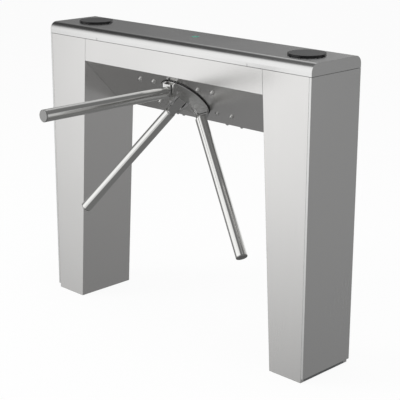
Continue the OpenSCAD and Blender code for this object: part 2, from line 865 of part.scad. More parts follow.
module hub_core() {
    core_r = 66;
    neck_r = 50;
    step_z = -24;
    color("gray") difference() {
        at_hub() rotate_extrude($fn = 120) polygon([[0, -core_back], [neck_r, -core_back],
            [core_r, step_z], [core_r, disc_back], [0, disc_back]]);
        at_hub() translate([0, 0, -core_back - 1])
            cylinder(r = shaft_d / 2 + run_clear, h = core_back + 1 + shaft_front + 0.3);
        for (k = [0:arm_count - 1]) at_arm(k) translate([0, 0, root_start - 0.3])
            cylinder(r = root_d / 2 + run_clear, h = disc_r);
    }
}

// Rotor disc with a chamfered rim and three openings for the arm roots
module rotor_disc() {
    color("darkgray") difference() {
        at_hub() rotate_extrude($fn = 120) polygon([[0, disc_back], [disc_r, disc_back],
            [disc_r, disc_back + disc_lip], [disc_r - band_t, disc_back + disc_lip],
            [disc_r - band_t, disc_proud - disc_lip], [disc_r, disc_proud - disc_lip],
            [disc_r, disc_proud - disc_chamfer], [disc_r - disc_chamfer, disc_proud], [0, disc_proud]]);
        for (k = [0:arm_count - 1]) at_arm(k) translate([0, 0, root_start])
            cylinder(r = root_d / 2 + seat_gap, h = disc_r);
    }
}

// Black rubber band in the groove round the disc's rim
module disc_rim_band() {
    color("black") at_hub() translate([0, 0, disc_back + disc_lip])
        ring(disc_r, disc_r - band_t + run_clear, disc_t - 2 * disc_lip, $fn = 120);
}

// Cheek plates beside each arm root; outline as distance along the arm and away from the axis
cheek_front = block_front - 5;
cheek_in = block_w / 2 + washer_t;
cheek_bolt_at = [84, -4];
pin_at = [92, 17];
pin_d = 6;
disc_face = (apex_depth + disc_proud) / slope_s;

module cheek_outline() {
    polygon([[disc_face - 21, -21], [disc_face - 2, -22.5], [cheek_front - 4, -8], [cheek_front, -3],
        [cheek_front, 26], [disc_face + 31, 31]]);
}

module hub_cheeks() {
    color("silver") for (k = [0:arm_count - 1], side = [0, 1]) at_arm(k) mirror([side, 0, 0])
        translate([cheek_in + cheek_t, 0, 0]) rotate([0, -90, 0]) linear_extrude(cheek_t) difference() {
            cheek_outline();
            translate(cheek_bolt_at) circle(d = cheek_bolt_d + 0.4);
            translate(pin_at) circle(d = pin_d + 0.2);
        }
}

// Arm roots: round inside the hub, a block between the cheeks, a neck and a spigot in the tube
module arm_roots() {
    spigot_r = arm_d / 2 - arm_wall - run_clear;
    block_low = -15;
    color("lightgray") for (k = [0:arm_count - 1]) at_arm(k) difference() {
        union() {
            translate([0, 0, root_start]) cylinder(d = root_d, h = arm_start - root_start);
            translate([block_w / 2, 0, 0]) rotate([0, -90, 0]) linear_extrude(block_w)
                polygon([[disc_face + block_low, block_low], [block_front, block_low],
                    [block_front, block_up], [disc_face + block_up, block_up]]);
            translate([0, 0, arm_start - 0.5]) cylinder(r = spigot_r, h = root_insert + 0.5);
        }
        translate([-arm_d, cheek_bolt_at[1], cheek_bolt_at[0]]) rotate([0, 90, 0])
            cylinder(d = cheek_bolt_d + 0.4, h = 2 * arm_d);
        translate([-arm_d, pin_at[1], pin_at[0]]) rotate([0, 90, 0])
            cylinder(d = pin_d + 0.2, h = 2 * arm_d);
    }
}

// Bolt with washers and a smaller pin across each pair of cheeks, through the arm root
module cheek_bolts() {
    span = 2 * (cheek_in + cheek_t);
    head_h = 4;
    color("lightgray") for (k = [0:arm_count - 1]) at_arm(k) {
        translate([-span / 2, cheek_bolt_at[1], cheek_bolt_at[0]]) rotate([0, 90, 0]) {
            translate([0, 0, -head_h]) cylinder(d = 1.6 * cheek_bolt_d, h = head_h, $fn = 6);
            cylinder(d = cheek_bolt_d, h = span);
            translate([0, 0, span]) cylinder(d = 1.6 * cheek_bolt_d, h = head_h, $fn = 6);
            for (z = [cheek_t, cheek_t + washer_t + block_w]) translate([0, 0, z])
                ring(cheek_bolt_d - 1, cheek_bolt_d / 2 + run_clear, washer_t);
        }
        translate([-span / 2 - 1, pin_at[1], pin_at[0]]) rotate([0, 90, 0])
            cylinder(d = pin_d, h = span + 2);
    }
}

// Arm tube from the cheeks to its end cap
module arm_tube(k) {
    color("whitesmoke") at_arm(k) translate([0, 0, arm_start])
        ring(arm_d / 2, arm_d / 2 - arm_wall, arm_reach - cap_l - arm_start);
}

// Cap that closes a tube, with a chamfered edge and a plug inside the tube
module arm_end_caps() {
    chamfer = 1.5;
    plug_r = arm_d / 2 - arm_wall - run_clear;
    color("lightgray") for (k = [0:arm_count - 1]) at_arm(k) translate([0, 0, arm_reach - cap_l])
        rotate_extrude() polygon([[0, -8], [plug_r, -8], [plug_r, 0], [arm_d / 2, 0],
            [arm_d / 2, cap_l - chamfer], [arm_d / 2 - chamfer, cap_l], [0, cap_l]]);
}

// Boards and supply inside the beam, on the back panel
board_y = half_w - sheet;
bay_in = web_x + chassis_t + bay_gap;
bay_out = leg_inner(beam_bottom) - bay_gap;
bay_top = beam_bottom - 1;

module control_board() {
    low = bay_top - 8 - board_h;
    stand = 8;
    board_t = 1.6;
    front = board_y - stand - board_t;
    socket = [22, 14.1, 12];
    sockets = floor((bay_out - bay_in - 24) / (socket[0] + 10));
    color("seagreen") {
        box([-bay_out, front, low], [-bay_in, board_y - stand, low + board_h]);
        for (x = [-bay_out + 6, -bay_in - 6], z = [low + 6, low + board_h - 6])
            translate([x, board_y - stand - 0.1, z]) rotate([-90, 0, 0]) cylinder(r = 3, h = stand + 0.1);
        for (i = [0:sockets - 1])
            translate([-bay_out + 20 + (socket[0] + 10) * i, front - socket[1] + 0.1, low + 8])
                cube(socket);
        translate([-bay_out + 40, front - 3, low + 40]) cube([25, 4, 25]);
        translate([-bay_in - 65, front - 16, low + 45]) cube([20, 17, 30]);
    }
}

module power_supply() {
    low = bay_top - supply_h;
    vent = [5, 3, 50];
    vents = floor((bay_out - bay_in - 14) / 14);
    color("silver") difference() {
        box([bay_in, board_y - supply_t, low], [bay_out, board_y, bay_top]);
        for (i = [0:vents - 1])
            translate([bay_in + 12 + 14 * i, board_y - supply_t - 1, low + 30]) cube(vent);
    }
}

module terminal_block() {
    low = slope_end_z + 18;
    pole = 11;
    poles = 8;
    start = -web_x - 20;
    color("darkgreen") difference() {
        box([start, board_y - 22, low], [start + pole * poles + 2, board_y, low + 22]);
        for (i = [0:poles - 1])
            translate([start + 3 + pole * i, board_y - 23, low + 8]) cube([pole - 4, 12, 7]);
    }
}

// Lid outline in Y and Z, with rounded long edges
module lid_outline(inset) {
    w = half_w - inset;
    top = body_h - inset;
    r = lid_r - inset;
    intersection() {
        union() {
            translate([-w, lid_bottom]) square([2 * w, top - r - lid_bottom]);
            translate([-w + r, lid_bottom]) square([2 * (w - r), top - lid_bottom]);
            for (side = [-1, 1]) translate([side * (w - r), top - r]) circle(r = r);
        }
        translate([-w, lid_bottom - inset]) square([2 * w, lid_h]);
    }
}

// Lid: rounded cover with closed ends, release slots and holes for the readers
module lid_shell() {
    color("lightgray") difference() {
        along(-half_l, half_l) lid_outline(0);
        along(-half_l + sheet, half_l - sheet) lid_outline(sheet);
        box([-half_l + sheet, -half_w + sheet, lid_bottom - 1], [half_l - sheet, half_w - sheet,
            lid_bottom + sheet]);
        for (x = [-slot_x, slot_x]) box([x - slot_w / 2, -half_w - 1, lid_bottom - 1],
            [x + slot_w / 2, -half_w + sheet + 1, lid_bottom + slot_h]);
        for (x = [-reader_x, reader_x]) translate([x, 0, body_h - sheet - 1])
            cylinder(d = reader_boss_d + 0.4, h = sheet + 2);
        translate([indicator_x, indicator_y, body_h - sheet - 1])
            cylinder(d = indicator_d + 0.2, h = sheet + 2);
    }
}

// Reader disc: a puck on the lid with a stepped rim and a boss through the lid
module reader_solid() {
    step = 1.2;
    rotate_extrude($fn = 120) polygon([[0, -sheet - 4], [reader_boss_d / 2, -sheet - 4],
        [reader_boss_d / 2, 0], [reader_d / 2 - 1, 0], [reader_d / 2, 0.6],
        [reader_d / 2, reader_h - step], [reader_d / 2 - step, reader_h], [0, reader_h]]);
}

module reader_disc_left() {
    color("darkslategray") translate([-reader_x, 0, body_h]) reader_solid();
}

module reader_disc_right() {
    color("darkslategray") translate([reader_x, 0, body_h]) reader_solid();
}

// Antenna boards below the readers, on posts under the lid
module reader_boards() {
    board = [reader_d - 9, reader_d - 23];
    board_t = 1.6;
    drop = 12;
    top = body_h - sheet;
    color("seagreen") for (side = [-1, 1]) translate([side * reader_x, 0, 0]) {
        box([-board[0] / 2, -board[1] / 2, top - drop - board_t], [board[0] / 2, board[1] / 2, top - drop]);
        for (x = [-1, 1], y = [-1, 1])
            translate([x * (board[0] / 2 - 6), y * (board[1] / 2 - 6), top - drop - 0.1])
                cylinder(r = 3, h = drop + 0.1);
    }
}

module indicator_window() {
    top = body_h - sheet;
    color("mediumseagreen") translate([indicator_x, indicator_y, top]) {
        translate([0, 0, -2]) cylinder(d = indicator_d + 6, h = 2);
        translate([0, 0, -0.1]) cylinder(d = indicator_d, h = sheet + 0.3);
    }
}

module indicator_lamp() {
    color("gray") translate([indicator_x, indicator_y, body_h - sheet - 14])
        cylinder(d = indicator_d - 6, h = 12);
}

// Lid hinges on the back: leaves, barrels and pins
barrel_gap = 0.4;
hinge_y = half_w + barrel_r + barrel_gap;
knuckle_l = hinge_l / 3 - 0.4;

module hinge_places() {
    for (x = [-hinge_span / 2, 0, hinge_span / 2]) translate([x, hinge_y, seam_z]) children();
}

module hinge_knuckle(x0, x1) {
    translate([x0, 0, 0]) rotate([0, 90, 0]) difference() {
        cylinder(r = barrel_r, h = x1 - x0);
        translate([0, 0, -1]) cylinder(r = hinge_pin_d / 2 + run_clear, h = x1 - x0 + 2);
    }
}

// Web that joins a knuckle to its leaf, clear of the pin's bore
module hinge_web(x0, x1, up) {
    inner = hinge_pin_d / 2 + 0.4;
    z = up > 0 ? [seam_gap / 2, barrel_r] : [-barrel_r, -seam_gap / 2];
    box([x0, -barrel_r - barrel_gap, z[0]], [x1, -inner, z[1]]);
}

// Leaf of one hinge on the upper or lower side, notched round the other leaf's knuckles
module hinge_leaf(own, up) {
    full = up > 0 ? [seam_gap / 2, seam_gap / 2 + leaf_h]
        : [-seam_gap / 2 - leaf_h, -seam_gap / 2];
    clear = barrel_r + barrel_gap;
    z = up > 0 ? [clear, full[1]] : [full[0], -clear];
    y = [half_w - hinge_y, half_w - hinge_y + leaf_t];
    box([-hinge_l / 2, y[0], z[0]], [hinge_l / 2, y[1], z[1]]);
    for (x = own) box([x, y[0], full[0]], [x + knuckle_l, y[1], full[1]]);
}

module hinge_fixed_leaves() {
    color("silver") hinge_places() {
        ends = [-hinge_l / 2, hinge_l / 2 - knuckle_l];
        hinge_leaf(ends, -1);
        for (x = ends) {
            hinge_knuckle(x, x + knuckle_l);
            hinge_web(x, x + knuckle_l, -1);
        }
    }
}

module hinge_moving_leaves() {
    color("silver") hinge_places() {
        hinge_leaf([-knuckle_l / 2], 1);
        hinge_knuckle(-knuckle_l / 2, knuckle_l / 2);
        hinge_web(-knuckle_l / 2, knuckle_l / 2, 1);
    }
}

module hinge_pins() {
    color("lightgray") hinge_places() translate([-hinge_l / 2 - 1, 0, 0]) rotate([0, 90, 0]) {
        cylinder(d = hinge_pin_d, h = hinge_l + 2);
        cylinder(r = barrel_r - 0.5, h = 0.95);
    }
}

// Quarter-turn latches behind the release slots
latch_z = seam_z + 7;
latch_y = -half_w + sheet + 9.5;
latch_plate_t = 3;
latch_spindle_r = 5;
latch_foot = 24;
cam_half = 3.4;
cam_l = 22;

module latch_places() {
    both_sides() translate([slot_x, 0, 0]) children();
}

module latch_brackets() {
    color("slategray") latch_places() difference() {
        union() {
            box([-10, latch_y, body_top], [6.5, latch_y + latch_plate_t, latch_z + 10]);
            box([-10, latch_y, body_top], [6.5, latch_y + latch_foot, body_top + 1.4]);
        }
        translate([0, latch_y - 1, latch_z]) rotate([-90, 0, 0])
            cylinder(r = latch_spindle_r + run_clear, h = latch_plate_t + 2);
    }
}

// Spindle with a key slot in front of the bracket and a cam behind it
module latch_cam_solid() {
    gap = 0.3;
    cam_y = latch_plate_t + gap;
    translate([0, latch_y, latch_z]) difference() {
        union() {
            translate([0, -5, 0]) rotate([-90, 0, 0]) cylinder(r = latch_spindle_r, h = 5 + cam_y + 3);
            translate([0, -5, 0]) rotate([-90, 0, 0]) cylinder(r = latch_spindle_r + 1.5, h = 5 - gap);
            translate([-cam_half, cam_y, 0]) cube([2 * cam_half, 3, cam_l]);
        }
        translate([-0.8, -6, -3.5]) cube([1.6, 4, 7]);
    }
}

module latch_cam_left() {
    color("orange") mirror([1, 0, 0]) translate([slot_x, 0, 0]) latch_cam_solid();
}

module latch_cam_right() {
    color("orange") translate([slot_x, 0, 0]) latch_cam_solid();
}

// Strikers inside the lid, whose lips the cams turn over
module lid_strikers() {
    skirt = -half_w + sheet;
    lip_top = latch_z - cam_half - 0.4;
    lip_low = lid_bottom + 0.4;
    color("slategray") latch_places() {
        box([8.5, skirt, lip_low], [latch_foot, skirt + sheet, body_h - lid_r]);
        box([8.5, skirt, lip_low], [latch_foot, latch_y + latch_plate_t + 5, lip_top]);
    }
}

left_leg_shell();
right_leg_shell();
left_end_cover();
right_end_cover();
left_base_plate();
right_base_plate();
frame_posts();
frame_rails();
cover_spacers();
beam_front_panel();
beam_back_panel();
mechanism_plate();
hub_seal_ring();
plate_bolts();
bottom_screws();
chassis_brackets();
bearing_plate();
mechanism_screws();
bearing_housing();
shaft_bearings();
rotary_damper();
rotation_sensor();
solenoids();
pawl_pins();
fixed_magnets();
control_board();
power_supply();
terminal_block();
latch_brackets();
hinge_fixed_leaves();
hinge_pins();
rotor_disc();
disc_rim_band();
hub_cheeks();
hub_core();
arm_tube(0);  // arm_tube_1
arm_tube(1);  // arm_tube_2
arm_tube(2);  // arm_tube_3
arm_roots();
arm_end_caps();
cheek_bolts();
main_shaft();
lock_wheel();
damper_gear();
rotor_magnets();
damper_pinion();
lock_pawl_entry();
lock_pawl_exit();
plunger_entry();
plunger_exit();
lid_shell();
reader_disc_left();
reader_disc_right();
reader_boards();
indicator_window();
indicator_lamp();
hinge_moving_leaves();
lid_strikers();
latch_cam_left();
latch_cam_right();
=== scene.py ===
import math

import bmesh
import bpy
from mathutils import Matrix, Vector


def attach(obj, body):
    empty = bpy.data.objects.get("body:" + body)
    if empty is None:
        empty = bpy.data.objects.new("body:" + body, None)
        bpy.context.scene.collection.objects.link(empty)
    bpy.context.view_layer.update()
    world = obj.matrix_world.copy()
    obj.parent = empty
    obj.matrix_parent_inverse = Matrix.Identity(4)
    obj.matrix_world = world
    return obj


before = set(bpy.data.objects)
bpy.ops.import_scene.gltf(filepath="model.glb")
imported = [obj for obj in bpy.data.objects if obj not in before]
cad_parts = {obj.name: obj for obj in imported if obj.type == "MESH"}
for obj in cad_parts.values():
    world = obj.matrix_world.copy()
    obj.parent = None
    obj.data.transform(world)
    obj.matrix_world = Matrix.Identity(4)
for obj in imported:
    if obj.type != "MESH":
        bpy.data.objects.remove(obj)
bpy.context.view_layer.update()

# Looks of the tripod turnstile: materials, a few small pieces, the stage and the camera

# Sizes repeated from the CAD source, in metres
HEIGHT = 1.0
HALF_W = 0.115  # half the cabinet's depth
SHEET = 0.0015
SEAM_Z = 0.961  # middle of the seam between body and lid
BEAM_BOTTOM = 0.884  # lower edge of the front panel, where the sloped plate starts
HUB_DOWN = 0.1155  # from there down the slope to the rotor's centre
SLOPE = math.sqrt(0.5)  # sine and cosine of the plate's 45 degrees
HUB = Vector((0.0, -HALF_W + HUB_DOWN * SLOPE, BEAM_BOTTOM - HUB_DOWN * SLOPE))
READER_X = 0.485
READER_R = 0.0595
BOARD_DROP = 0.0135  # from the lid's inner face to just inside a reader board's lower face
HINGE_X = (-0.35, 0.0, 0.35)
LEAF_FACE_Y = HALF_W + 0.0012  # outer face of the hinge leaves

# The tones of a colour or roughness are spread over the middle of a noise's range
NOISE_LOW = 0.3
NOISE_HIGH = 0.7

scene = bpy.context.scene


# Node helpers
class Shader:
    """Builds one procedural material, node by node."""

    def __init__(self, name):
        self.mat = bpy.data.materials.new(name)
        self.mat.use_nodes = True
        self.tree = self.mat.node_tree
        self.nodes = self.tree.nodes
        self.bsdf = self.nodes["Principled BSDF"]

    def add(self, kind, **props):
        node = self.nodes.new(kind)
        for key, value in props.items():
            setattr(node, key, value)
        return node

    def link(self, source, target):
        self.tree.links.new(source, target)

    def put(self, socket, value):
        """Links a socket, or sets a plain number or colour."""
        if isinstance(value, bpy.types.NodeSocket):
            self.link(value, socket)
        else:
            socket.default_value = value

    def place(self):
        """Object coordinates in metres, which are the frame's, as three numbers."""
        tex = self.add("ShaderNodeTexCoord")
        split = self.add("ShaderNodeSeparateXYZ")
        self.link(tex.outputs["Object"], split.inputs["Vector"])
        return split.outputs["X"], split.outputs["Y"], split.outputs["Z"]

    def noise(self, scale, detail=2.0, rough=0.5):
        """Noise with its own scale along X, Y and Z, in waves to the metre."""
        tex = self.add("ShaderNodeTexCoord")
        mapping = self.add("ShaderNodeMapping")
        mapping.inputs["Scale"].default_value = scale
        self.link(tex.outputs["Object"], mapping.inputs["Vector"])
        node = self.add("ShaderNodeTexNoise")
        node.inputs["Scale"].default_value = 1.0
        node.inputs["Detail"].default_value = detail
        node.inputs["Roughness"].default_value = rough
        self.link(mapping.outputs["Vector"], node.inputs["Vector"])
        return node.outputs["Fac"]

    def span(self, value, low, high, from_low=0.0, from_high=1.0, smooth=False):
        """Maps from_low..from_high to low..high, and holds it there outside."""
        node = self.add("ShaderNodeMapRange")
        if smooth:
            node.interpolation_type = "SMOOTHSTEP"
        self.put(node.inputs["Value"], value)
        node.inputs["From Min"].default_value = from_low
        node.inputs["From Max"].default_value = from_high
        node.inputs["To Min"].default_value = low
        node.inputs["To Max"].default_value = high
        return node.outputs["Result"]

    def spread(self, noise, low, high):
        """Maps the middle of a noise's range to low..high."""
        return self.span(noise, low, high, NOISE_LOW, NOISE_HIGH)

    def math(self, op, a, b=0.0, c=None):
        node = self.add("ShaderNodeMath", operation=op)
        self.put(node.inputs[0], a)
        self.put(node.inputs[1], b)
        if c is not None:
            self.put(node.inputs[2], c)
        return node.outputs["Value"]

    def length(self, a, b):
        squares = self.math("ADD", self.math("MULTIPLY", a, a), self.math("MULTIPLY", b, b))
        return self.math("SQRT", squares)

    def mix(self, factor, a, b):
        """Straight blend of two numbers."""
        node = self.add("ShaderNodeMix", data_type="FLOAT")
        self.put(node.inputs["Factor"], factor)
        self.put(node.inputs["A"], a)
        self.put(node.inputs["B"], b)
        return node.outputs["Result"]

    def blend(self, factor, a, b):
        """Straight blend of two colours."""
        node = self.add("ShaderNodeMix", data_type="RGBA")
        self.put(node.inputs["Factor"], factor)
        self.put(node.inputs["A"], a)
        self.put(node.inputs["B"], b)
        return node.outputs["Result"]

    def bump(self, height, strength, depth, edge=0.0):
        """Relief of a depth in metres, over edges that look rounded by the radius edge."""
        node = self.add("ShaderNodeBump")
        node.inputs["Strength"].default_value = strength
        node.inputs["Distance"].default_value = depth
        self.put(node.inputs["Height"], height)
        if edge:
            bevel = self.add("ShaderNodeBevel", samples=4)
            bevel.inputs["Radius"].default_value = edge
            self.link(bevel.outputs["Normal"], node.inputs["Normal"])
        self.link(node.outputs["Normal"], self.bsdf.inputs["Normal"])

    def emit(self, level):
        """Plain white light of the given level."""
        glow = self.add("ShaderNodeEmission")
        self.put(glow.inputs["Strength"], level)
        return glow.outputs["Emission"]

    def surface(self, closure):
        self.link(closure, self.nodes["Material Output"].inputs["Surface"])


def rgba(colour):
    return (colour[0], colour[1], colour[2], 1.0)


def tones(colour, tint):
    """A colour darkened and lightened by the share tint."""
    dark = tuple(c * (1.0 - tint) for c in colour)
    light = tuple(min(1.0, c * (1.0 + tint)) for c in colour)
    return rgba(dark), rgba(light)


def even(scale):
    """Noise scale that is the same along X, Y and Z."""
    return (scale, scale, scale)


# Materials
METAL_DEPTH = 0.0001  # depth of the fine relief of metals, in metres
METAL_CLOUD = (3.1, 3.1, 2.3)
METAL_HANDLED = 0.02  # how far the roughness of metals strays, by streaks and by clouds
COARSE_GRAIN = 0.21  # scale of the broad streaks, as a share of the fine ones
COARSE_WEIGHT = 0.3
TURNED_RINGS = 9000.0  # radians of the lathe's rings to the metre
TURNED_WEIGHT = 0.2
TURNED_GRAIN = 420.0
TURNED_TINT = 0.05
TURNED_HANDLED = 0.04
MOULD_DEPTH = 0.00008
MOULD_CLOUD = 18.0
MOULD_HANDLED = 0.04
READER_RIM = 0.0055  # width of the reader's black rim
READER_RIM_SOFT = 0.0006  # half the step from face to rim
READER_RING_R = 0.036
READER_RING_HALF = 0.0007  # half the ring's width
READER_RING_SHARE = 0.35
READER_GRIT = 1400.0
READER_CLOUD = 25.0
READER_FACE_DARK = (0.045, 0.045, 0.046)
READER_FACE_LIGHT = (0.060, 0.060, 0.061)
READER_RING_TONE = (0.03, 0.03, 0.031)
READER_RIM_TONE = (0.008, 0.008, 0.009)
READER_FACE_ROUGH = (0.42, 0.5)
READER_RIM_ROUGH = 0.25


def brushed(name, colour, rough, grain, strength=0.02, edge=0.0012, tint=0.018):
    """Brushed metal. grain is the scale of the streaks along X, Y and Z."""
    s = Shader(name)
    fine = s.noise(grain, detail=3.0, rough=0.6)
    coarse = s.noise(tuple(g * COARSE_GRAIN for g in grain))
    cloud = s.noise(METAL_CLOUD, detail=3.0, rough=0.55)
    both = s.math("ADD", s.math("MULTIPLY", fine, 1.0 - COARSE_WEIGHT),
                  s.math("MULTIPLY", coarse, COARSE_WEIGHT))
    s.put(s.bsdf.inputs["Base Color"], s.blend(s.spread(both, 0.0, 1.0), *tones(colour, tint)))
    streaks = s.spread(fine, -METAL_HANDLED, METAL_HANDLED)
    handled = s.spread(cloud, rough - METAL_HANDLED, rough + METAL_HANDLED)
    s.put(s.bsdf.inputs["Roughness"], s.math("ADD", streaks, handled))
    s.bsdf.inputs["Metallic"].default_value = 1.0
    s.bump(fine, strength, METAL_DEPTH, edge)
    return s.mat


def turned_disc(name, colour, rough):
    """Steel turned on a lathe, with fine rings round the rotor's axis."""
    s = Shader(name)
    x, y, z = s.place()
    rise = s.math("SUBTRACT", z, HUB.z)
    back = s.math("SUBTRACT", y, HUB.y)
    radius = s.length(x, s.math("MULTIPLY", s.math("SUBTRACT", rise, back), SLOPE))
    rings = s.math("SINE", s.math("MULTIPLY", radius, TURNED_RINGS))
    fine = s.noise(even(TURNED_GRAIN), detail=3.0, rough=0.6)
    s.put(s.bsdf.inputs["Base Color"],
          s.blend(s.spread(fine, 0.0, 1.0), *tones(colour, TURNED_TINT)))
    s.put(s.bsdf.inputs["Roughness"],
          s.spread(fine, rough - TURNED_HANDLED, rough + TURNED_HANDLED))
    s.bsdf.inputs["Metallic"].default_value = 1.0
    relief = s.math("ADD", s.math("MULTIPLY", rings, TURNED_WEIGHT), fine)
    s.bump(relief, strength=0.06, depth=METAL_DEPTH, edge=0.0008)
    return s.mat


def moulded(name, colour, rough, speckle=900.0, strength=0.25, edge=0.0006, coat=0.0,
            tint=0.12, specular=0.5):
    """Moulded or painted surface with a fine texture."""
    s = Shader(name)
    grit = s.noise(even(speckle), rough=0.6)
    cloud = s.noise(even(MOULD_CLOUD), detail=3.0, rough=0.55)
    s.put(s.bsdf.inputs["Base Color"], s.blend(s.spread(cloud, 0.0, 1.0), *tones(colour, tint)))
    patchy = s.span(cloud, rough - MOULD_HANDLED, rough + MOULD_HANDLED)
    speckled = s.span(grit, -MOULD_HANDLED, MOULD_HANDLED)
    s.put(s.bsdf.inputs["Roughness"], s.math("ADD", speckled, patchy))
    s.bsdf.inputs["Coat Weight"].default_value = coat
    s.bsdf.inputs["Specular IOR Level"].default_value = specular
    s.bump(grit, strength, MOULD_DEPTH, edge)
    return s.mat


def reader_face(name):
    """Dark grey reader face with a black rim and one faint ring on the face."""
    s = Shader(name)
    x, y, z = s.place()
    radius = s.length(s.math("SUBTRACT", s.math("ABSOLUTE", x), READER_X), y)
    step_r = READER_R - READER_RIM
    rim = s.span(radius, 0.0, 1.0, step_r - READER_RIM_SOFT, step_r + READER_RIM_SOFT, smooth=True)
    ring = s.math("COMPARE", radius, READER_RING_R, READER_RING_HALF)
    grit = s.noise(even(READER_GRIT), rough=0.6)
    cloud = s.noise(even(READER_CLOUD), detail=3.0, rough=0.55)
    face = s.blend(s.spread(cloud, 0.0, 1.0), rgba(READER_FACE_DARK), rgba(READER_FACE_LIGHT))
    marked = s.blend(s.math("MULTIPLY", ring, READER_RING_SHARE), face, rgba(READER_RING_TONE))
    s.put(s.bsdf.inputs["Base Color"], s.blend(rim, marked, rgba(READER_RIM_TONE)))
    face_rough = s.spread(cloud, *READER_FACE_ROUGH)
    s.put(s.bsdf.inputs["Roughness"], s.mix(rim, face_rough, READER_RIM_ROUGH))
    s.bsdf.inputs["Specular IOR Level"].default_value = 0.42
    s.bump(grit, strength=0.2, depth=MOULD_DEPTH, edge=0.0006)
    return s.mat


UPRIGHT = (900.0, 900.0, 12.0)
LENGTHWAYS = (12.0, 900.0, 900.0)
STEEL = (0.74, 0.74, 0.735)
WARM_STEEL = (0.746, 0.74, 0.731)

leg_steel = brushed("brushed_sheet_upright", WARM_STEEL, 0.24, UPRIGHT, strength=0.014)
cover_steel = brushed("brushed_end_cover", STEEL, 0.24, UPRIGHT, strength=0.014)
plate_steel = brushed("brushed_mechanism_plate", WARM_STEEL, 0.24, LENGTHWAYS, edge=0.0005)
lid_steel = brushed("brushed_lid", STEEL, 0.20, LENGTHWAYS)
tube_steel = brushed("polished_tube", (0.80, 0.80, 0.785), 0.13, even(600.0),
                     strength=0.01, edge=0.0006, tint=0.015)
cap_steel = brushed("satin_cap", (0.44, 0.44, 0.435), 0.42, even(600.0),
                    strength=0.05, edge=0.0008, tint=0.04)
cheek_steel = brushed("cheek_steel", (0.78, 0.78, 0.775), 0.26, even(600.0),
                      strength=0.03, edge=0.0005, tint=0.03)
root_steel = brushed("arm_root_steel", (0.68, 0.68, 0.67), 0.20, even(600.0),
                     strength=0.03, edge=0.0006, tint=0.03)
disc_steel = turned_disc("rotor_disc_steel", (0.77, 0.77, 0.76), 0.34)
cast_metal = brushed("hub_casting", (0.50, 0.51, 0.52), 0.50, even(700.0),
                     strength=0.4, edge=0.001)
bolt_steel = brushed("bolt_steel", (0.84, 0.84, 0.83), 0.27, even(500.0),
                     strength=0.05, edge=0.0004)
dark_steel = brushed("machined_steel", (0.50, 0.51, 0.53), 0.24, even(400.0),
                     strength=0.05, edge=0.0004)
brass = brushed("gear_brass", (0.72, 0.53, 0.24), 0.30, even(500.0),
                strength=0.06, edge=0.0003)
supply_case = brushed("supply_case", (0.6, 0.6, 0.6), 0.35, LENGTHWAYS)
primer = moulded("frame_primer", (0.16, 0.165, 0.17), 0.55,
                 speckle=600.0, strength=0.3, edge=0.001)
iron = moulded("housing_iron", (0.10, 0.10, 0.105), 0.5,
               speckle=500.0, strength=0.5, edge=0.001)
black_plastic = moulded("black_plastic", (0.012, 0.012, 0.013), 0.6, specular=0.2)
# Near black for the hub's seal ring and the disc's rim band. This is painted shade: it stands in
# for the shadow gap round the rotor disc and the dark reflections low on the disc's wall.
gap_shade_black = moulded("gap_shade_black", (0.010, 0.010, 0.010), 0.75,
                       speckle=1600.0, strength=0.3, edge=0.0004, specular=0.12)
reader_plastic = reader_face("reader_plastic")
solenoid_coat = moulded("solenoid_coat", (0.03, 0.03, 0.032), 0.35)
board_green = moulded("circuit_board", (0.012, 0.10, 0.04), 0.3,
                      speckle=300.0, strength=0.1, edge=0.0002, coat=0.4)
terminal_green = moulded("terminal_plastic", (0.015, 0.14, 0.04), 0.35)
chip_black = moulded("chip_plastic", (0.015, 0.015, 0.016), 0.4,
                     speckle=1200.0, strength=0.2, edge=0.0002)
green_lens = moulded("indicator_lens", (0.07, 0.30, 0.22), 0.45,
                     speckle=300.0, strength=0.05, edge=0.0003, specular=0.25)
white_plastic = moulded("white_plastic", (0.62, 0.62, 0.60), 0.4)

MATERIAL_NODES = [
    (leg_steel, ["left_leg_shell", "right_leg_shell", "beam_front_panel", "beam_back_panel"]),
    (cover_steel, ["left_end_cover", "right_end_cover"]),
    (plate_steel, ["mechanism_plate"]),
    (lid_steel, ["lid_shell"]),
    (tube_steel, ["arm_tube_1", "arm_tube_2", "arm_tube_3"]),
    (cap_steel, ["arm_end_caps"]),
    (cheek_steel, ["hub_cheeks"]),
    (root_steel, ["arm_roots"]),
    (disc_steel, ["rotor_disc"]),
    (cast_metal, ["hub_core"]),
    (bolt_steel, ["plate_bolts", "bottom_screws", "mechanism_screws", "cheek_bolts", "pawl_pins",
                  "hinge_fixed_leaves", "hinge_moving_leaves", "hinge_pins", "plunger_entry",
                  "plunger_exit", "latch_cam_left", "latch_cam_right"]),
    (dark_steel, ["shaft_bearings", "main_shaft", "lock_wheel", "rotor_magnets", "fixed_magnets",
                  "lock_pawl_entry", "lock_pawl_exit"]),
    (brass, ["damper_gear", "damper_pinion"]),
    (primer, ["left_base_plate", "right_base_plate", "frame_posts", "frame_rails",
              "cover_spacers", "chassis_brackets", "bearing_plate", "latch_brackets",
              "lid_strikers"]),
    (iron, ["bearing_housing"]),
    (black_plastic, ["rotary_damper", "rotation_sensor"]),
    # painted shade of the gap round the rotor disc
    (gap_shade_black, ["hub_seal_ring", "disc_rim_band"]),
    (solenoid_coat, ["solenoids"]),
    (board_green, ["control_board", "reader_boards"]),
    (terminal_green, ["terminal_block"]),
    (supply_case, ["power_supply"]),
    (reader_plastic, ["reader_disc_left", "reader_disc_right"]),
    (green_lens, ["indicator_window"]),
    (white_plastic, ["indicator_lamp"]),
]

for material, names in MATERIAL_NODES:
    for name in names:
        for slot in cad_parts[name].material_slots:
            slot.material = material


# Added pieces
BACKWARD = (0.0, 1.0, 0.0)
SCREW_SIDES = 24
SCREW_R = 0.0026
SCREW_H = 0.0009
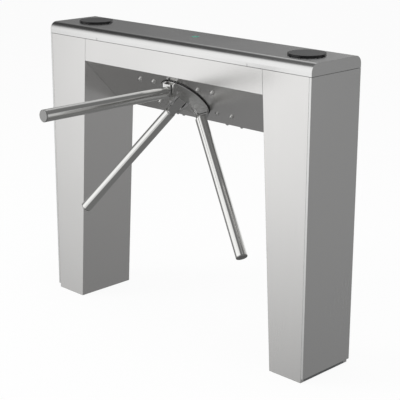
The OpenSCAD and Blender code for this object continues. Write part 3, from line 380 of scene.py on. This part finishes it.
# Rings of a screw's dome, as shares of its radius and height
SCREW_DOME = ((1.0, 0.0), (1.0, 0.35), (0.85, 0.75), (0.5, 1.0))
SLOT_RING = 0.42  # radius of the slot's ring and height of its floor, as such shares
SLOT_FLOOR = 0.45
SLOT_SINE = 0.3  # the slot takes the ring's points up to this sine
LEAF_SCREWS = (-0.032, -0.011, 0.011, 0.032)  # places of the screws along a leaf
LEAF_SCREW_RISE = 0.0079  # height of the screws above or below the seam

# Parts under a reader board: place from the board's middle along X and Y, then their size
READER_CHIPS = [
    (-0.018, 0.012, (0.014, 0.014, 0.0016)),
    (0.022, -0.020, (0.010, 0.006, 0.0020)),
    (0.030, 0.030, (0.016, 0.007, 0.0048)),
] + [(-0.036 + 0.010 * k, -0.034, (0.004, 0.002, 0.0010)) for k in range(8)]


def piece(name, build, material, body):
    """Makes one mesh piece with build(bm) and lets it ride on a body."""
    bm = bmesh.new()
    build(bm)
    mesh = bpy.data.meshes.new(name)
    bm.to_mesh(mesh)
    bm.free()
    obj = bpy.data.objects.new(name, mesh)
    scene.collection.objects.link(obj)
    mesh.materials.append(material)
    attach(obj, body)


def block(bm, centre, size):
    made = bmesh.ops.create_cube(bm, size=1.0)
    for vert in made["verts"]:
        scaled = Vector([unit * length for unit, length in zip(vert.co, size)])
        vert.co = scaled + Vector(centre)


def slotted_screw(bm, centre, normal, radius, height):
    """Domed screw head with a slot, built from rings round its axis."""
    turn = Vector((0.0, 0.0, 1.0)).rotation_difference(Vector(normal)).to_matrix()
    angles = [2.0 * math.pi * k / SCREW_SIDES for k in range(SCREW_SIDES)]

    def ring(share, lifts):
        verts = []
        for angle, lift in zip(angles, lifts):
            point = Vector((math.cos(angle) * radius * share,
                            math.sin(angle) * radius * share,
                            height * lift))
            verts.append(bm.verts.new(Vector(centre) + turn @ point))
        return verts

    rings = [ring(share, [lift] * SCREW_SIDES) for share, lift in SCREW_DOME]
    rings.append(ring(SLOT_RING, [SLOT_FLOOR if abs(math.sin(angle)) < SLOT_SINE else 1.0
                                  for angle in angles]))
    for low, high in zip(rings, rings[1:]):
        for k in range(SCREW_SIDES):
            after = (k + 1) % SCREW_SIDES
            bm.faces.new((low[k], low[after], high[after], high[k]))
    bm.faces.new(rings[-1])
    bm.faces.new(tuple(reversed(rings[0])))


def hinge_screws(side):
    """Screws of one row of hinge leaves; side is 1 for the lid and -1 for the body."""
    def build(bm):
        for x in HINGE_X:
            for along in LEAF_SCREWS:
                centre = (x + along, LEAF_FACE_Y, SEAM_Z + side * LEAF_SCREW_RISE)
                slotted_screw(bm, centre, BACKWARD, SCREW_R, SCREW_H)
    return build


def reader_parts(bm):
    """Chips and a coil connector on the lower side of each reader board."""
    z = HEIGHT - SHEET - BOARD_DROP
    for side in (-1, 1):
        for x, y, size in READER_CHIPS:
            block(bm, (side * READER_X + x, y, z - size[2] / 2.0), size)


piece("hinge_screws_lid", hinge_screws(1), bolt_steel, "lid")
piece("hinge_screws_body", hinge_screws(-1), bolt_steel, "cabinet")
piece("reader_chips", reader_parts, chip_black, "lid")


# Stage. Its sizes are in metres.
FLOOR_HALF = 12.0
FLOOR_Z = -0.0005
FLOOR_TONE = (0.86, 0.86, 0.86)
FLOOR_SEEN = 0.93  # share of plain white in the floor that the camera sees
TENT_R = 18.0
CLOTH = 0.18  # light of the tent between its panels

# Each panel of the tent: compass range and its soft edges in degrees from +X, range of the
# sine of the height angle and its soft edges, then the level of its light. A panel lies over
# those before it. The compass has its seam at 0, so what crosses it is given as two panels
# that reach past it, and the last panel is the light overhead.
PANELS = [
    ((150.0, 187.0, 12.0, 8.0), (-0.45, 0.50, 0.12, 0.15), 0.38),
    ((125.0, 190.0, 15.0, 15.0), (-0.92, -0.44, 0.04, 0.10), 0.24),
    ((74.0, 121.0, 8.0, 11.0), (-0.50, 0.32, 0.15, 0.12), 0.92),
    ((94.0, 139.0, 11.0, 9.0), (0.33, 0.79, 0.07, 0.06), 0.68),
    ((26.0, 66.0, 10.0, 8.0), (-0.47, 0.10, 0.22, 0.12), 0.31),
    ((16.0, 41.0, 6.0, 4.0), (-0.12, 0.40, 0.06, 0.08), 0.60),
    ((-60.0, 46.0, 1.0, 6.0), (0.73, 0.90, 0.05, 0.02), 0.35),
    ((336.0, 420.0, 8.0, 1.0), (0.80, 0.90, 0.05, 0.02), 0.32),
    ((154.0, 205.0, 8.0, 14.0), (0.42, 0.775, 0.08, 0.05), 0.055),
    ((211.2, 265.0, 11.5, 11.0), (-0.38, 0.86, 0.26, 0.06), 1.13),
    ((248.0, 280.0, 8.0, 6.0), (-0.52, -0.22, 0.08, 0.10), 0.85),
    ((228.0, 284.0, 12.0, 10.0), (0.50, 0.81, 0.10, 0.06), 1.0),
    ((302.0, 420.0, 16.0, 1.0), (-0.42, 0.48, 0.10, 0.14), 0.46),
    ((-60.0, 20.0, 1.0, 12.0), (-0.70, 0.48, 0.14, 0.14), 0.46),
    ((-60.0, 420.0, 1.0, 1.0), (0.965, 2.0, 0.03, 0.1), 0.42),
]


def stage_mesh(name, mesh, material):
    obj = bpy.data.objects.new(name, mesh)
    scene.collection.objects.link(obj)
    mesh.materials.append(material)
    return obj


def floor_material():
    """Pale floor with the object's shadow. The tent stands in for it in reflections."""
    s = Shader("floor_white")
    s.bsdf.inputs["Base Color"].default_value = rgba(FLOOR_TONE)
    s.bsdf.inputs["Roughness"].default_value = 0.9
    path = s.add("ShaderNodeLightPath")
    mix = s.add("ShaderNodeMixShader")
    s.link(s.math("MULTIPLY", path.outputs["Is Camera Ray"], FLOOR_SEEN), mix.inputs["Fac"])
    s.link(s.bsdf.outputs["BSDF"], mix.inputs[1])
    s.link(s.emit(1.0), mix.inputs[2])
    s.surface(mix.outputs["Shader"])
    return s.mat


def within(s, value, low, high, soft_low, soft_high):
    """1 between low and high and 0 outside, with a soft step round each end."""
    enter = s.span(value, 0.0, 1.0, low - soft_low, low + soft_low, smooth=True)
    leave = s.span(value, 1.0, 0.0, high - soft_high, high + soft_high, smooth=True)
    return s.math("MULTIPLY", enter, leave)


def tent_material():
    """Cloth round the studio that only reflections see, with brighter and darker panels."""
    s = Shader("studio_tent")
    x, y, z = s.place()
    flat_squared = s.math("POWER", s.length(x, y), 2.0)
    distance = s.math("SQRT", s.math("ADD", flat_squared, s.math("MULTIPLY", z, z)))
    rise = s.math("DIVIDE", z, distance)
    turn = s.math("ARCTAN2", s.math("MULTIPLY", y, -1.0), s.math("MULTIPLY", x, -1.0))
    compass = s.math("ADD", s.math("MULTIPLY", turn, 180.0 / math.pi), 180.0)
    level = CLOTH
    for (west, east, soft_west, soft_east), (low, high, soft_low, soft_high), light in PANELS:
        across = within(s, compass, west, east, soft_west, soft_east)
        upright = within(s, rise, low, high, soft_low, soft_high)
        level = s.mix(s.math("MULTIPLY", across, upright), level, light)
    s.surface(s.emit(level))
    return s.mat


floor_mesh = bpy.data.meshes.new("floor")
floor_mesh.from_pydata([(x * FLOOR_HALF, y * FLOOR_HALF, FLOOR_Z)
                        for x, y in ((-1, -1), (1, -1), (1, 1), (-1, 1))],
                       [], [(0, 1, 2, 3)])
floor = stage_mesh("floor", floor_mesh, floor_material())
floor.visible_glossy = False

tent_mesh = bpy.data.meshes.new("studio_tent")
tent_bm = bmesh.new()
bmesh.ops.create_uvsphere(tent_bm, u_segments=64, v_segments=32, radius=TENT_R)
tent_bm.to_mesh(tent_mesh)
tent_bm.free()
tent = stage_mesh("studio_tent", tent_mesh, tent_material())
tent.visible_camera = False
tent.visible_diffuse = False
tent.visible_shadow = False
tent.visible_transmission = False

# World and lamps
WORLD_SEEN = 1.0
WORLD_FILL = 0.55


def studio_world(name):
    """White to the camera, reflections and glass, and a lower fill as light on the object."""
    made = bpy.data.worlds.new(name)
    made.use_nodes = True
    nodes = made.node_tree.nodes
    links = made.node_tree.links
    path = nodes.new("ShaderNodeLightPath")
    seen = path.outputs["Is Camera Ray"]
    for ray in ("Is Glossy Ray", "Is Transmission Ray"):
        either = nodes.new("ShaderNodeMath")
        either.operation = "MAXIMUM"
        links.new(seen, either.inputs[0])
        links.new(path.outputs[ray], either.inputs[1])
        seen = either.outputs["Value"]
    level = nodes.new("ShaderNodeMapRange")
    level.inputs["To Min"].default_value = WORLD_FILL
    level.inputs["To Max"].default_value = WORLD_SEEN
    links.new(seen, level.inputs["Value"])
    background = nodes["Background"]
    background.inputs["Color"].default_value = (1.0, 1.0, 1.0, 1.0)
    links.new(level.outputs["Result"], background.inputs["Strength"])
    return made


def area(name, place, target, width, height, power):
    """Soft lamp for what isn't metal. Reflections see the tent and not the lamp."""
    lamp = bpy.data.lights.new(name, "AREA")
    lamp.shape = "RECTANGLE"
    lamp.size = width
    lamp.size_y = height
    lamp.energy = power
    obj = bpy.data.objects.new(name, lamp)
    obj.location = place
    obj.rotation_euler = (Vector(target) - Vector(place)).to_track_quat("-Z", "Y").to_euler()
    scene.collection.objects.link(obj)
    obj.visible_camera = False
    obj.visible_glossy = False


scene.world = studio_world("studio")
area("key_left", place=(-3.2, -3.4, 2.4), target=(0.0, 0.0, 0.7),
     width=2.2, height=1.8, power=110.0)
area("top_soft", place=(0.5, -0.5, 4.0), target=(0.0, 0.0, 0.5),
     width=3.0, height=3.0, power=60.0)

# Camera, as fitted to the photograph
CAMERA_AT = (2.70523, -2.68094, 1.58432)
YAW = math.radians(44.877)
PITCH = math.radians(-16.674)
ROLL = math.radians(0.139)
FOCAL_PX = 1168.705
PHOTO_PX = 400.0
SENSOR_MM = 36.0
CLIP_END = 60.0

forward = Vector((-math.sin(YAW) * math.cos(PITCH),
                  math.cos(YAW) * math.cos(PITCH),
                  math.sin(PITCH)))
right = Vector((math.cos(YAW), math.sin(YAW), 0.0))
up = right.cross(forward)
cam_right = math.cos(ROLL) * right + math.sin(ROLL) * up
cam_up = -math.sin(ROLL) * right + math.cos(ROLL) * up
lens = bpy.data.cameras.new("camera")
lens.sensor_width = SENSOR_MM
lens.lens = FOCAL_PX * SENSOR_MM / PHOTO_PX
lens.clip_end = CLIP_END
camera = bpy.data.objects.new("camera", lens)
turn = Matrix((cam_right, cam_up, -forward)).transposed().to_4x4()
camera.matrix_world = Matrix.Translation(CAMERA_AT) @ turn
scene.collection.objects.link(camera)
scene.camera = camera

scene.view_settings.view_transform = "Standard"
